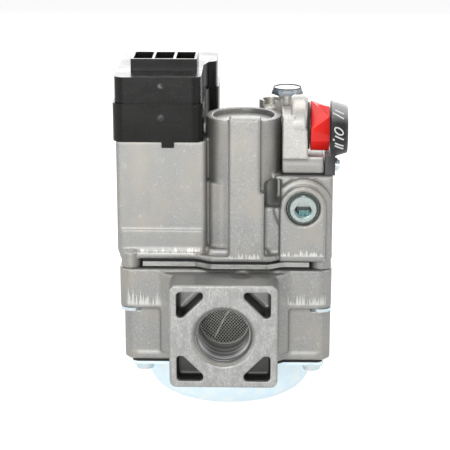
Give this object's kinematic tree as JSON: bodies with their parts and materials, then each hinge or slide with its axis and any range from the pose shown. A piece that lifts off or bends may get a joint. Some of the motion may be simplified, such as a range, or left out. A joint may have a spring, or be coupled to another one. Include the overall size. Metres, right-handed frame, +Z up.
{
  "type": "gas valve",
  "caption": "Combination gas control valve with red manual lever, solenoid operators, servo regulator and spring-loaded diaphragm main valve",
  "frame": {"origin": "centre of the inlet bore on the inlet flange face", "axes": "+X right seen from the inlet, +Y from inlet to outlet, +Z up, bowl cover at the bottom"},
  "size_m": [0.1013, 0.1, 0.1531],
  "materials": {
    "cast_body": "as-cast die casting, fine grain",
    "cast_housing": "as-cast die casting, lighter",
    "plate_steel": "sheared sheet steel",
    "black_gasket": "matt nitrile and fibre",
    "zinc_fastener": "bright zinc",
    "zinc_plug": "bright zinc with a blue-green tint",
    "zinc_cover": "pale blue zinc plate",
    "diaphragm_rubber": "moulded nitrile",
    "turned_steel": "turned",
    "spring_steel": "drawn wire",
    "screen_wire": "woven wire",
    "box_plastic": "moulded black, low gloss",
    "dial_plastic": "moulded black",
    "red_plastic": "moulded red",
    "blade_metal": "tinned brass",
    "board_green": "glass epoxy",
    "component_plastic": "moulded component cases",
    "bobbin_plastic": "natural nylon",
    "copper_wire": "enamelled winding wire",
    "turned_brass": "turned brass"
  },
  "bodies": {
    "valve_body": {"lower_body": "cast_body", "upper_body": "cast_body", "cock_housing": "cast_housing", "separator_plate": "plate_steel", "lower_gasket": "black_gasket", "upper_gasket": "black_gasket", "housing_gasket": "black_gasket", "tower_cap": "cast_body", "body_screws": "zinc_fastener", "bottom_cover": "zinc_cover", "cover_gasket": "black_gasket", "cover_screws": "zinc_fastener", "main_diaphragm": "diaphragm_rubber", "main_spring": "spring_steel", "inlet_screen": "screen_wire", "pressure_tap_plugs": "zinc_plug", "box_base": "box_plastic", "box_cover": "box_plastic", "terminal_block": "box_plastic", "terminal_blades": "blade_metal", "circuit_board": "board_green", "board_components": "component_plastic", "coil_bobbins": "bobbin_plastic", "coil_windings": "copper_wire", "coil_yokes": "turned_steel", "armature_tubes": "turned_steel", "pilot_spring": "spring_steel", "main_plunger_spring": "spring_steel", "safety_bobbin": "bobbin_plastic", "safety_winding": "copper_wire", "safety_tube": "turned_steel", "safety_spring": "spring_steel", "cock_spring": "spring_steel", "lever_washer": "dial_plastic", "dial_plate": "dial_plastic", "dial_screw": "zinc_fastener", "housing_screws": "zinc_fastener", "regulator_cap": "zinc_plug", "regulator_spring": "spring_steel", "regulator_diaphragm": "diaphragm_rubber", "vent_insert": "screen_wire"},
    "lever_group": {"lever": "red_plastic", "lever_spindle": "turned_steel", "lever_screw": "zinc_fastener", "cock_plug": "turned_brass"},
    "pilot_armature": {"pilot_plunger": "turned_steel", "pilot_seat": "diaphragm_rubber"},
    "main_armature": {"main_plunger": "turned_steel", "main_seat": "diaphragm_rubber"},
    "safety_armature": {"safety_plunger": "turned_steel", "safety_seat": "diaphragm_rubber"},
    "main_valve": {"main_valve_stem": "turned_steel", "main_valve_disc": "diaphragm_rubber", "diaphragm_plate": "turned_steel"},
    "regulator_valve": {"regulator_poppet": "turned_steel"},
    "spring_seat": {"regulator_button": "turned_steel"},
    "adjuster_screw": {"regulator_adjuster": "turned_brass"}
  },
  "joints": [
    {"name": "lever_turn", "type": "hinge", "parent": "valve_body", "child": "lever_group", "pos_m": [0.0411, 0.034, 0.086], "axis": [1, 0, 0], "range_deg": [-90, 0]},
    {"name": "pilot_lift", "type": "slide", "parent": "valve_body", "child": "pilot_armature", "axis": [0, 0, 1], "range_m": [0, 0.0012], "stiffness_N_per_m": 120, "springref_m": -0.002, "deforming": ["pilot_spring"]},
    {"name": "main_lift", "type": "slide", "parent": "valve_body", "child": "main_armature", "axis": [0, 0, 1], "range_m": [0, 0.0012], "stiffness_N_per_m": 120, "springref_m": -0.002, "deforming": ["main_plunger_spring"]},
    {"name": "safety_lift", "type": "slide", "parent": "valve_body", "child": "safety_armature", "axis": [0, 0, 1], "range_m": [0, 0.0022], "stiffness_N_per_m": 200, "springref_m": -0.003, "deforming": ["safety_spring"]},
    {"name": "main_valve_travel", "type": "slide", "parent": "valve_body", "child": "main_valve", "axis": [0, 0, -1], "range_m": [0, 0.004], "stiffness_N_per_m": 500, "springref_m": -0.004, "deforming": ["main_spring", "main_diaphragm"]},
    {"name": "regulator_travel", "type": "slide", "parent": "valve_body", "child": "regulator_valve", "axis": [0, 0, -1], "range_m": [0, 0.0008], "stiffness_N_per_m": 150, "springref_m": -0.001},
    {"name": "adjuster_advance", "type": "slide", "parent": "valve_body", "child": "spring_seat", "axis": [0, 0, 1], "range_m": [-0.0016, 0.0016], "deforming": ["regulator_spring"]},
    {"name": "adjuster_turn", "type": "hinge", "parent": "spring_seat", "child": "adjuster_screw", "pos_m": [0.0271, 0.056, 0.085], "axis": [0, 0, 1], "range_deg": [-720, 720]}
  ],
  "couplings": [
    {"joint": "adjuster_turn", "follows": "adjuster_advance", "rad_per_m": 7853.9}
  ]
}
